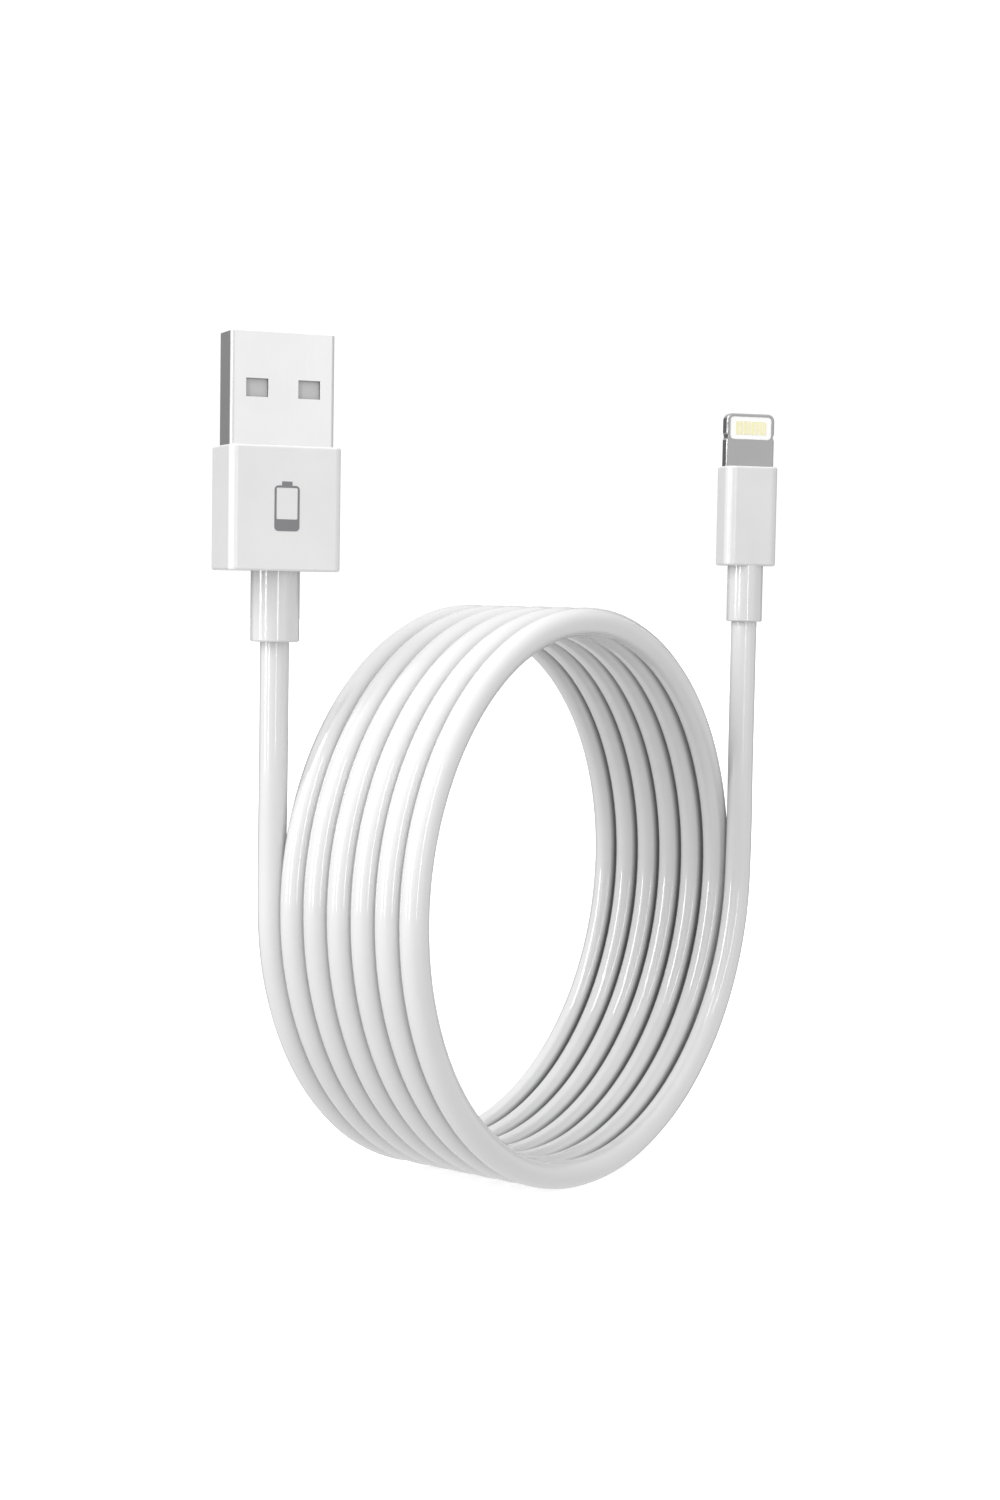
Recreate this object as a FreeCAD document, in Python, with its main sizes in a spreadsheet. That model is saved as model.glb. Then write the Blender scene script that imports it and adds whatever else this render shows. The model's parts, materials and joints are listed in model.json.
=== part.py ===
import FreeCAD, Part
import math
import os

import Sketcher

# A charging cable: a wide host plug, a narrow eight-contact tab plug and a coiled cord.
# Millimetres. Z is up, the coil's axis is Y, and z = 0 is the flat that the coil stands on.

DIMS = {
    # cord and coil
    "cord_diameter": 3.3,
    "coil_radius": 33.5,
    "coil_pitch": 3.4,
    "coil_centre": 34.23,
    # where the two plugs stand, and how far they are turned about Z
    "usb_turn": -31.0,
    "tab_turn": -37.0,
    # host plug: heights
    "usb_relief_bottom": 65.1,
    "usb_housing_bottom": 73.0,
    "usb_housing_top": 86.8,
    "usb_tip": 99.2,
    # host plug: overmould
    "usb_housing_width": 12.9,
    "usb_housing_depth": 8.0,
    "usb_housing_corner": 0.9,
    "usb_housing_edge": 0.3,
    "usb_floor": 2.8,
    "usb_core_width": 11.6,
    "usb_core_depth": 6.0,
    "usb_core_length": 5.4,
    "usb_channel_width": 9.0,
    "usb_channel_depth": 4.3,
    "usb_relief_diameter": 5.5,
    "usb_relief_edge": 0.3,
    "mark_width": 2.9,
    "mark_height": 5.0,
    "mark_line": 0.24,
    "mark_fill": 1.3,
    "mark_nub_width": 1.2,
    "mark_nub_height": 0.45,
    "mark_rise": 4.4,
    "mark_depth": 0.05,
    # host plug: shell, tongue and contacts
    "usb_shell_width": 12.0,
    "usb_shell_depth": 4.5,
    "usb_shell_wall": 0.3,
    "usb_shell_corner": 0.4,
    "usb_window_width": 2.5,
    "usb_window_height": 2.0,
    "usb_window_offset": 3.0,
    "usb_window_drop": 6.1,
    "usb_mouth_drop": 11.8,
    "usb_tongue_drop": 0.4,
    "usb_contact_width": 1.0,
    "usb_contact_depth": 0.2,
    "usb_contact_drop": 1.4,
    "usb_inner_offset": 1.0,
    "usb_outer_offset": 3.5,
    "usb_crimp_diameter": 4.2,
    "usb_crimp_length": 1.6,
    "wire_diameter": 0.8,
    "wire_offset": 0.55,
    # tab plug: heights
    "tab_relief_bottom": 67.7,
    "tab_housing_bottom": 74.9,
    "tab_housing_top": 87.7,
    "tab_tip": 94.5,
    # tab plug: overmould
    "tab_housing_width": 7.2,
    "tab_housing_depth": 4.7,
    "tab_housing_corner": 1.3,
    "tab_housing_edge": 0.3,
    "tab_floor": 2.5,
    "tab_seat": 2.5,
    "tab_core_width": 6.1,
    "tab_core_depth": 3.2,
    "tab_relief_diameter": 4.6,
    "tab_relief_edge": 0.2,
    # tab plug: metal frame, insert and contacts
    "tab_width": 6.7,
    "tab_depth": 1.5,
    "tab_corner": 0.9,
    "tab_edge": 0.25,
    "tab_window_width": 5.7,
    "tab_window_height": 2.9,
    "tab_window_drop": 0.4,
    "tab_window_corner": 0.5,
    "tab_detent_radius": 0.6,
    "tab_detent_depth": 0.2,
    "tab_detent_drop": 3.0,
    "tab_contact_width": 0.38,
    "tab_contact_depth": 0.04,
    "tab_contact_height": 1.7,
    "tab_contact_pitch": 0.545,
    # tab plug: electronics
    "can_width": 5.5,
    "can_depth": 2.5,
    "can_wall": 0.2,
    "board_depth": 0.5,
    "board_lift": 1.5,
    "chip_width": 2.4,
    "chip_depth": 0.55,
    "chip_height": 2.4,
    "capacitor_width": 0.9,
    "capacitor_depth": 0.45,
    "capacitor_height": 0.5,
    "capacitor_offset": 1.3,
    "tab_wire_diameter": 0.7,
}

TAB_CONTACTS = 8
COIL_TURNS = 6.5

doc = FreeCAD.newDocument("charging_cable")
parts = []


def make_sheet():
    """The sheet that every size below is bound to."""
    sheet = doc.addObject("Spreadsheet::Sheet", "dims")
    for row, (name, value) in enumerate(DIMS.items(), start=1):
        sheet.set(f"A{row}", name)
        sheet.set(f"B{row}", str(value))
        sheet.setAlias(f"B{row}", name)
    doc.recompute()
    return sheet


def placed(axis, turn):
    """The placement of a plug: on its tail's axis, turned about Z."""
    rotation = FreeCAD.Rotation(FreeCAD.Vector(0, 0, 1), DIMS[turn])
    return FreeCAD.Placement(axis, rotation)


def add_part(part, label, placement):
    """Name a finished sub-part, put it in its place and keep it for export."""
    part.Label = label
    part.Placement = placement
    parts.append(part)
    return part


def add_body(label):
    """A new body for one sub-part."""
    body = doc.addObject("PartDesign::Body", "body_" + label)
    return body


def add_sketch(body, name, role="XY_Plane", lift=None):
    """A sketch on one of the body's own origin planes, lifted along its normal."""
    sketch = body.newObject("Sketcher::SketchObject", name)
    plane = [f for f in body.Origin.OriginFeatures if f.Role == role][0]
    sketch.AttachmentSupport = [(plane, "")]
    sketch.MapMode = "FlatFace"
    if lift is not None:
        sketch.setExpression("AttachmentOffset.Base.z", lift)
    return sketch


def bound(sketch, index, name, expression):
    """Name a driving constraint and bind it to the sheet."""
    sketch.renameConstraint(index, name)
    sketch.setExpression("Constraints." + name, expression)


def draw_rectangle(sketch, tag, width, height, left=None, low=None):
    """A rectangle of bound width and height, centred unless left and low are given."""
    corners = [(-2, -1), (2, -1), (2, 1), (-2, 1)]
    first = sketch.GeometryCount
    points = [FreeCAD.Vector(x, y, 0) for x, y in corners]
    for start, end in zip(points, points[1:] + points[:1]):
        sketch.addGeometry(Part.LineSegment(start, end), False)
    for side in range(4):
        after = first + (side + 1) % 4
        sketch.addConstraint(Sketcher.Constraint("Coincident", first + side, 2, after, 1))
    for side, kind in enumerate(("Horizontal", "Vertical", "Horizontal", "Vertical")):
        sketch.addConstraint(Sketcher.Constraint(kind, first + side))
    index = sketch.addConstraint(Sketcher.Constraint("DistanceX", first, 1, first, 2, 4))
    bound(sketch, index, tag + "_width", width)
    index = sketch.addConstraint(
        Sketcher.Constraint("DistanceY", first + 1, 1, first + 1, 2, 2)
    )
    bound(sketch, index, tag + "_height", height)
    if left is None:
        sketch.addConstraint(
            Sketcher.Constraint("Symmetric", first, 1, first + 1, 2, -1, 1)
        )
        return first
    index = sketch.addConstraint(Sketcher.Constraint("DistanceX", -1, 1, first, 1, -2))
    bound(sketch, index, tag + "_left", left)
    index = sketch.addConstraint(Sketcher.Constraint("DistanceY", -1, 1, first, 1, -1))
    bound(sketch, index, tag + "_low", low)
    return first


def draw_circle(sketch, tag, diameter, across="0", up="0"):
    """A circle of bound diameter about a bound centre."""
    circle = Part.Circle(FreeCAD.Vector(0.1, 0.1, 0), FreeCAD.Vector(0, 0, 1), 1)
    item = sketch.addGeometry(circle, False)
    index = sketch.addConstraint(Sketcher.Constraint("Diameter", item, 2))
    bound(sketch, index, tag + "_diameter", diameter)
    if across == "0" and up == "0":
        sketch.addConstraint(Sketcher.Constraint("Coincident", item, 3, -1, 1))
        return item
    index = sketch.addConstraint(Sketcher.Constraint("DistanceX", -1, 1, item, 3, 0.1))
    bound(sketch, index, tag + "_across", across)
    index = sketch.addConstraint(Sketcher.Constraint("DistanceY", -1, 1, item, 3, 0.1))
    bound(sketch, index, tag + "_up", up)
    return item


def pad(body, sketch, name, length, midplane=False):
    """Pad a sketch by a bound length."""
    feature = body.newObject("PartDesign::Pad", name)
    feature.Profile = sketch
    feature.Midplane = midplane
    feature.setExpression("Length", length)
    sketch.Visibility = False
    doc.recompute()
    return feature


def pocket(body, sketch, name, length=None, upward=False):
    """Cut a sketch away: by a bound length, or through everything both ways."""
    feature = body.newObject("PartDesign::Pocket", name)
    feature.Profile = sketch
    if length is None:
        feature.Type = 1
        feature.Midplane = True
    else:
        feature.setExpression("Length", length)
        feature.Reversed = upward
    sketch.Visibility = False
    doc.recompute()
    return feature


def along(edge, direction):
    """Whether a straight edge runs along a direction."""
    if edge.Curve.TypeId != "Part::GeomLine":
        return False
    run = edge.Vertexes[-1].Point - edge.Vertexes[0].Point
    return run.cross(direction).Length < 1e-6


def fillet(body, base, name, radius, chosen):
    """Round the edges of the last feature that chosen(edge) picks."""
    names = [f"Edge{i}" for i, e in enumerate(base.Shape.Edges, start=1) if chosen(e)]
    feature = body.newObject("PartDesign::Fillet", name)
    feature.Base = (base, names)
    feature.setExpression("Radius", radius)
    doc.recompute()
    return feature


def at_height(edge, height):
    """Whether an edge lies wholly at one height."""
    box = edge.BoundBox
    return abs(box.ZMin - height) < 1e-6 and abs(box.ZMax - height) < 1e-6


def upright(edge):
    """Whether an edge is vertical."""
    return along(edge, FreeCAD.Vector(0, 0, 1))


def add_block(label, sizes, corner, placement):
    """A Part box from bound (length, width, height) and a bound low corner."""
    block = doc.addObject("Part::Box", label)
    for name, expression in zip(("Length", "Width", "Height"), sizes):
        block.setExpression(name, expression)
    offset = FreeCAD.Vector(*[block.evalExpression(e) for e in corner])
    local = FreeCAD.Placement(offset, FreeCAD.Rotation())
    return add_part(block, label, placement.multiply(local))


def add_rod(label, diameter, height, centre, placement):
    """A Part cylinder from a bound diameter and height, standing on a bound centre."""
    rod = doc.addObject("Part::Cylinder", label)
    rod.setExpression("Radius", diameter + " / 2")
    rod.setExpression("Height", height)
    offset = FreeCAD.Vector(*[rod.evalExpression(e) for e in centre])
    local = FreeCAD.Placement(offset, FreeCAD.Rotation())
    return add_part(rod, label, placement.multiply(local))


def make_relief(label, prefix, placement):
    """A strain relief: a straight sleeve with a rounded lower lip, bored for the cord."""
    body = add_body(label)
    outline = add_sketch(body, label + "_outline", lift=f"dims.{prefix}_relief_bottom")
    draw_circle(outline, "outer", f"dims.{prefix}_relief_diameter")
    reach = f"dims.{prefix}_housing_bottom + dims.{prefix}_floor - dims.{prefix}_relief_bottom"
    sleeve = pad(body, outline, label + "_sleeve", reach)
    low = DIMS[prefix + "_relief_bottom"]
    radius = f"dims.{prefix}_relief_edge"
    fillet(body, sleeve, label + "_lip", radius, lambda e: at_height(e, low))
    hole = add_sketch(body, label + "_hole", lift=f"dims.{prefix}_relief_bottom")
    draw_circle(hole, "bore", "dims.cord_diameter")
    pocket(body, hole, label + "_bore")
    return add_part(body, label, placement)


def make_housing(label, prefix, mouth, core, placement):
    """An overmould: a rounded block with a mouth, a hollow core and a relief bore.

    mouth and core are (width, depth, length) expressions; the mouth opens at the top and the
    core starts at the floor above the relief's seat.
    """
    body = add_body(label)
    outline = add_sketch(body, label + "_outline", lift=f"dims.{prefix}_housing_bottom")
    width = f"dims.{prefix}_housing_width"
    depth = f"dims.{prefix}_housing_depth"
    draw_rectangle(outline, "outer", width, depth)
    height = f"dims.{prefix}_housing_top - dims.{prefix}_housing_bottom"
    block = pad(body, outline, label + "_block", height)
    corner = f"dims.{prefix}_housing_corner"
    sides = fillet(body, block, label + "_corners", corner, upright)
    low = DIMS[prefix + "_housing_bottom"]
    high = DIMS[prefix + "_housing_top"]
    edge = f"dims.{prefix}_housing_edge"
    fillet(
        body, sides, label + "_edges", edge,
        lambda e: at_height(e, low) or at_height(e, high),
    )
    opening = add_sketch(body, label + "_opening", lift=f"dims.{prefix}_housing_top")
    draw_rectangle(opening, "mouth", mouth[0], mouth[1])
    pocket(body, opening, label + "_mouth", mouth[2])
    floor = f"dims.{prefix}_housing_bottom + dims.{prefix}_floor"
    hollow = add_sketch(body, label + "_hollow", lift=floor)
    draw_rectangle(hollow, "core", core[0], core[1])
    pocket(body, hollow, label + "_core", core[2], upward=True)
    seat = add_sketch(body, label + "_seat", lift=f"dims.{prefix}_housing_bottom")
    draw_circle(seat, "relief", f"dims.{prefix}_relief_diameter")
    pocket(body, seat, label + "_relief_bore", f"dims.{prefix}_floor", upward=True)
    return add_part(body, label, placement)


def make_frame_block(label, outer, inner, low, length, placement):
    """A block with a straight channel through it, from (width, depth) expressions."""
    body = add_body(label)
    outline = add_sketch(body, label + "_outline", lift=low)
    draw_rectangle(outline, "outer", outer[0], outer[1])
    draw_rectangle(outline, "channel", inner[0], inner[1])
    pad(body, outline, label + "_block", length)
    return add_part(body, label, placement)


def make_usb_shell(placement):
    """The host plug's steel shell: a thin rounded tube with two windows in each wide wall."""
    body = add_body("usb_shell")
    low = "dims.usb_housing_bottom + dims.usb_floor + dims.usb_core_length"
    outline = add_sketch(body, "shell_outline", lift=low)
    draw_rectangle(outline, "outer", "dims.usb_shell_width", "dims.usb_shell_depth")
    tube = pad(body, outline, "shell_block", "dims.usb_tip - (" + low + ")")
    fillet(body, tube, "shell_corners", "dims.usb_shell_corner", upright)
    inside = add_sketch(body, "shell_inside", lift=low)
    draw_rectangle(
        inside, "inner",
        "dims.usb_shell_width - 2 * dims.usb_shell_wall",
        "dims.usb_shell_depth - 2 * dims.usb_shell_wall",
    )
    hollow = pocket(body, inside, "shell_hollow")
    reach = DIMS["usb_shell_width"] / 2 - DIMS["usb_shell_wall"] + 0.01
    deep = DIMS["usb_shell_depth"] / 2 - DIMS["usb_shell_wall"] + 0.01

    def inner_corner(edge):
        if not upright(edge):
            return False
        box = edge.BoundBox
        return abs(box.XMin) < reach and abs(box.YMin) < deep

    inner_radius = "dims.usb_shell_corner - dims.usb_shell_wall"
    fillet(body, hollow, "shell_inner_corners", inner_radius, inner_corner)
    windows = add_sketch(body, "shell_windows", role="XZ_Plane")
    low_edge = "dims.usb_tip - dims.usb_window_drop - dims.usb_window_height / 2"
    for side, sign in (("left", "-"), ("right", "")):
        draw_rectangle(
            windows, side, "dims.usb_window_width", "dims.usb_window_height",
            left=f"{sign}dims.usb_window_offset - dims.usb_window_width / 2", low=low_edge,
        )
    pocket(body, windows, "shell_window_cut")
    return add_part(body, "usb_shell", placement)


def make_charge_mark(placement):
    """The printed mark on the host plug: a half-full battery with a nub, as one thin plate."""
    body = add_body("usb_charge_mark")
    face = "dims.usb_housing_depth / 2"
    low = "dims.usb_housing_bottom + dims.mark_rise"
    outline = add_sketch(body, "mark_outline", role="XZ_Plane", lift=face)
    draw_rectangle(
        outline, "case", "dims.mark_width", "dims.mark_height",
        left="-dims.mark_width / 2", low=low,
    )
    draw_rectangle(
        outline, "empty",
        "dims.mark_width - 2 * dims.mark_line",
        "dims.mark_height - dims.mark_line - dims.mark_fill",
        left="-dims.mark_width / 2 + dims.mark_line", low=low + " + dims.mark_fill",
    )
    pad(body, outline, "mark_case", "dims.mark_depth")
    nub = add_sketch(body, "mark_nub", role="XZ_Plane", lift=face)
    draw_rectangle(
        nub, "nub", "dims.mark_nub_width", "dims.mark_nub_height",
        left="-dims.mark_nub_width / 2", low=low + " + dims.mark_height",
    )
    pad(body, nub, "mark_nub_pad", "dims.mark_depth")
    return add_part(body, "usb_charge_mark", placement)


def make_usb_insulator(placement):
    """The host plug's insulator: a base that fills the shell and a tongue along its front."""
    body = add_body("usb_insulator")
    low = "dims.usb_housing_bottom + dims.usb_floor + dims.usb_core_length"
    width = "dims.usb_shell_width - 2 * dims.usb_shell_wall"
    depth = "dims.usb_shell_depth - 2 * dims.usb_shell_wall"
    base = add_sketch(body, "insulator_base", lift=low)
    draw_rectangle(base, "base", width, depth)
    pad(body, base, "insulator_base_pad", "dims.usb_tip - dims.usb_mouth_drop - (" + low + ")")
    tongue = add_sketch(body, "insulator_tongue", lift=low)
    draw_rectangle(
        tongue, "tongue", width, "(" + depth + ") / 2",
        left="-(" + width + ") / 2", low="-(" + depth + ") / 2",
    )
    block = pad(
        body, tongue, "insulator_tongue_pad",
        "dims.usb_tip - dims.usb_tongue_drop - (" + low + ")",
    )
    inner_radius = "dims.usb_shell_corner - dims.usb_shell_wall"
    reach = DIMS["usb_shell_width"] / 2 - DIMS["usb_shell_wall"]
    deep = DIMS["usb_shell_depth"] / 2 - DIMS["usb_shell_wall"]

    def outer_corner(edge):
        box = edge.BoundBox
        wide = abs(abs(box.XMin) - reach) < 1e-6
        return upright(edge) and wide and abs(abs(box.YMin) - deep) < 1e-6

    fillet(body, block, "insulator_corners", inner_radius, outer_corner)
    return add_part(body, "usb_insulator", placement)


def make_usb_contacts(placement):
    """Four flat contacts on the tongue, facing the plug's hollow side."""
    offsets = (
        "-dims.usb_outer_offset", "-dims.usb_inner_offset",
        "dims.usb_inner_offset", "dims.usb_outer_offset",
    )
    low = "dims.usb_tip - dims.usb_mouth_drop"
    height = "dims.usb_mouth_drop - dims.usb_contact_drop"
    for number, offset in enumerate(offsets, start=1):
        sizes = ("dims.usb_contact_width", "dims.usb_contact_depth", height)
        corner = (offset + " - dims.usb_contact_width / 2", "0", low)
        add_block(f"usb_contact_{number}", sizes, corner, placement)


def make_wires(prefix, colours, diameter, low, length, placement):
    """Four straight insulated wires in a square bundle about the plug's axis."""
    signs = ((-1, -1), (1, -1), (1, 1), (-1, 1))
    for colour, (across, deep) in zip(colours, signs):
        centre = (f"{across} * dims.wire_offset", f"{deep} * dims.wire_offset", low)
        add_rod(f"{prefix}_wire_{colour}", diameter, length, centre, placement)


def make_crimp(placement):
    """The ferrule that grips the end of the cord's jacket inside the host plug."""
    body = add_body("usb_crimp")
    low = "dims.usb_housing_bottom + dims.usb_floor"
    ring = add_sketch(body, "crimp_ring", lift=low)
    draw_circle(ring, "outer", "dims.usb_crimp_diameter")
    draw_circle(ring, "bore", "dims.cord_diameter")
    pad(body, ring, "crimp_pad", "dims.usb_crimp_length")
    add_part(body, "usb_crimp", placement)


def make_tab_frame(placement):
    """The tab plug's metal frame: a rounded tongue, a window and a detent in each narrow side."""
    body = add_body("tab_frame")
    low = "dims.tab_housing_top - dims.tab_seat"
    outline = add_sketch(body, "tab_outline", lift=low)
    draw_rectangle(outline, "outer", "dims.tab_width", "dims.tab_depth")
    block = pad(body, outline, "tab_block", "dims.tab_tip - (" + low + ")")
    high = DIMS["tab_tip"]
    across = FreeCAD.Vector(0, 1, 0)
    tip = fillet(
        body, block, "tab_tip_corners", "dims.tab_corner",
        lambda e: at_height(e, high) and along(e, across),
    )
    fillet(body, tip, "tab_long_edges", "dims.tab_edge", upright)
    window = add_sketch(body, "tab_window", role="XZ_Plane")
    draw_rectangle(
        window, "window", "dims.tab_window_width", "dims.tab_window_height",
        left="-dims.tab_window_width / 2",
        low="dims.tab_tip - dims.tab_window_drop - dims.tab_window_height",
    )
    cut = pocket(body, window, "tab_window_cut")
    inside = DIMS["tab_window_width"] / 2

    def window_corner(edge):
        box = edge.BoundBox
        return along(edge, across) and abs(abs(box.XMin) - inside) < 1e-6

    fillet(body, cut, "tab_window_corners", "dims.tab_window_corner", window_corner)
    detents = add_sketch(body, "tab_detents", role="XZ_Plane")
    out = "dims.tab_width / 2 + dims.tab_detent_radius - dims.tab_detent_depth"
    up = "dims.tab_tip - dims.tab_detent_drop"
    draw_circle(detents, "right", "2 * dims.tab_detent_radius", across=out, up=up)
    draw_circle(detents, "left", "2 * dims.tab_detent_radius", across=f"-({out})", up=up)
    pocket(body, detents, "tab_detent_cut")
    add_part(body, "tab_frame", placement)


def make_tab_insert(placement):
    """The white insert in the frame's window, with eight contacts on each face."""
    low = "dims.tab_tip - dims.tab_window_drop - dims.tab_window_height"
    body = add_body("tab_insulator")
    outline = add_sketch(body, "insert_outline", role="XZ_Plane")
    draw_rectangle(
        outline, "insert", "dims.tab_window_width", "dims.tab_window_height",
        left="-dims.tab_window_width / 2", low=low,
    )
    deep = "dims.tab_depth - 2 * dims.tab_contact_depth"
    block = pad(body, outline, "insert_block", deep, midplane=True)
    across = FreeCAD.Vector(0, 1, 0)
    fillet(
        body, block, "insert_corners", "dims.tab_window_corner", lambda e: along(e, across),
    )
    add_part(body, "tab_insulator", placement)
    base = low + " + (dims.tab_window_height - dims.tab_contact_height) / 2"
    sizes = ("dims.tab_contact_width", "dims.tab_contact_depth", "dims.tab_contact_height")
    faces = (
        ("front", "-dims.tab_depth / 2"),
        ("back", "dims.tab_depth / 2 - dims.tab_contact_depth"),
    )
    for face, depth in faces:
        for number in range(TAB_CONTACTS):
            step = number - (TAB_CONTACTS - 1) / 2
            across = f"{step} * dims.tab_contact_pitch - dims.tab_contact_width / 2"
            corner = (across, depth, base)
            add_block(f"tab_contact_{face}_{number + 1}", sizes, corner, placement)


def make_tab_electronics(placement):
    """The board, chip, capacitors, shield can and inner mould inside the tab plug."""
    floor = "dims.tab_housing_bottom + dims.tab_floor"
    length = "dims.tab_housing_top - dims.tab_seat - (" + floor + ")"
    can = ("dims.can_width", "dims.can_depth")
    hollow = ("dims.can_width - 2 * dims.can_wall", "dims.can_depth - 2 * dims.can_wall")
    core = ("dims.tab_core_width", "dims.tab_core_depth")
    make_frame_block("tab_inner_mold", core, can, floor, length, placement)
    make_frame_block("tab_shield_can", can, hollow, floor, length, placement)
    base = floor + " + dims.board_lift"
    sizes = (hollow[0], "dims.board_depth", length + " - dims.board_lift")
    corner = (f"-({hollow[0]}) / 2", "-dims.board_depth / 2", base)
    add_block("tab_circuit_board", sizes, corner, placement)
    sizes = ("dims.chip_width", "dims.chip_depth", "dims.chip_height")
    front = "-dims.board_depth / 2 - dims.chip_depth"
    corner = ("-dims.chip_width / 2", front, base + " + dims.chip_height / 2")
    add_block("tab_identity_chip", sizes, corner, placement)
    sizes = ("dims.capacitor_width", "dims.capacitor_depth", "dims.capacitor_height")
    for number, sign in ((1, "-"), (2, "")):
        across = f"{sign}dims.capacitor_offset - dims.capacitor_width / 2"
        corner = (across, "dims.board_depth / 2", base + " + dims.chip_height")
        add_block(f"tab_capacitor_{number}", sizes, corner, placement)


def make_coil():
    """The coil's outer shape: six passes over the top, seven below, on a flat foot."""
    body = add_body("cord_coil")
    outer = "2 * dims.coil_radius + dims.cord_diameter"
    inner = "2 * dims.coil_radius - dims.cord_diameter"
    ring = add_sketch(body, "coil_ring", role="XZ_Plane")
    draw_circle(ring, "outer", outer, up="dims.coil_centre")
    draw_circle(ring, "inner", inner, up="dims.coil_centre")
    passes = f"{COIL_TURNS - 1.5} * dims.coil_pitch + dims.cord_diameter"
    pad(body, ring, "coil_upper", passes, midplane=True)
    lower = add_sketch(body, "coil_lower_ring", role="XZ_Plane")
    draw_half_ring(lower)
    width = f"{COIL_TURNS} * dims.coil_pitch + dims.cord_diameter"
    pad(body, lower, "coil_lower", width, midplane=True)
    tails = add_sketch(body, "coil_tail_room", lift="dims.coil_centre")
    inset = "dims.coil_radius - dims.cord_diameter"
    start = f"{COIL_TURNS / 2} * dims.coil_pitch - dims.cord_diameter / 2 - 0.05"
    reach = "2 * dims.cord_diameter"
    draw_rectangle(
        tails, "front", reach, reach, left=inset, low=f"-({start}) - {reach}",
    )
    draw_rectangle(tails, "back", reach, reach, left=f"-({inset}) - {reach}", low=start)
    pocket(body, tails, "coil_tail_cut", "dims.coil_radius", upward=True)
    under = add_sketch(body, "coil_under", lift="0")
    draw_rectangle(under, "foot", "dims.coil_radius", "2 * (" + width + ")")
    pocket(body, under, "coil_foot", "dims.coil_radius")
    add_part(body, "cord_coil", FreeCAD.Placement())


def draw_half_ring(sketch):
    """The lower half of the coil's ring, about the bound centre."""
    centre = FreeCAD.Vector(0, DIMS["coil_centre"], 0)
    radii = (
        DIMS["coil_radius"] + DIMS["cord_diameter"] / 2,
        DIMS["coil_radius"] - DIMS["cord_diameter"] / 2,
    )
    exprs = (
        "dims.coil_radius + dims.cord_diameter / 2", "dims.coil_radius - dims.cord_diameter / 2",
    )
    up = FreeCAD.Vector(0, 0, 1)
    for radius in radii:
        arc = Part.ArcOfCircle(Part.Circle(centre, up, radius), math.pi, 2 * math.pi)
        sketch.addGeometry(arc, False)
    for sign in (-1, 1):
        ends = [centre + FreeCAD.Vector(sign * radius, 0, 0) for radius in radii]
        sketch.addGeometry(Part.LineSegment(*ends), False)
    for line, end in ((2, 1), (3, 2)):
        sketch.addConstraint(Sketcher.Constraint("Coincident", 0, end, line, 1))
        sketch.addConstraint(Sketcher.Constraint("Coincident", 1, end, line, 2))
        sketch.addConstraint(Sketcher.Constraint("Horizontal", line))
    sketch.addConstraint(Sketcher.Constraint("Coincident", 1, 3, 0, 3))
    sketch.addConstraint(Sketcher.Constraint("PointOnObject", 0, 3, -2))
    sketch.addConstraint(Sketcher.Constraint("PointOnObject", 0, 3, 2))
    for item, name in ((0, "outer"), (1, "inner")):
        index = sketch.addConstraint(Sketcher.Constraint("Radius", item, radii[item]))
        bound(sketch, index, name + "_radius", exprs[item])
    rise = Sketcher.Constraint("DistanceY", -1, 1, 0, 3, DIMS["coil_centre"])
    index = sketch.addConstraint(rise)
    bound(sketch, index, "centre_rise", "dims.coil_centre")


def make_tail(label, top, axis):
    """A straight tail: the cord from the coil's side up to its end inside a plug."""
    body = add_body(label)
    section = add_sketch(body, label + "_section", lift="dims.coil_centre")
    draw_circle(section, "cord", "dims.cord_diameter")
    run = pad(body, section, label + "_run", f"{top} - dims.coil_centre")
    tube = add_part(body, label, FreeCAD.Placement(axis, FreeCAD.Rotation()))
    radius = DIMS["cord_diameter"] / 2
    length = run.Length.Value
    flat = math.pi * radius**2 * length
    print(f"{label}: tube radius {radius} mm, volume {tube.Shape.Volume:.2f}, section x length {flat:.2f}")
    return tube


def export_all():
    """Test every object and write one STEP file per sub-part."""
    doc.recompute()
    for item in doc.Objects:
        if "Invalid" in item.State or "Error" in item.State:
            raise RuntimeError(f"{item.Name} is {item.State}")
    os.makedirs("parts", exist_ok=True)
    for part in parts:
        shape = part.Shape
        if shape.isNull() or not shape.isValid() or len(shape.Solids) != 1:
            raise RuntimeError(f"{part.Label} has no single valid solid")
        shape.exportStep(f"parts/{part.Label}.step")
        box = shape.BoundBox
        print(
            f"{part.Label}: volume {shape.Volume:.3f}, "
            f"x {box.XMin:.2f} {box.XMax:.2f} y {box.YMin:.2f} {box.YMax:.2f} "
            f"z {box.ZMin:.2f} {box.ZMax:.2f}"
        )
    print(len(parts), "sub-parts written")


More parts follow.
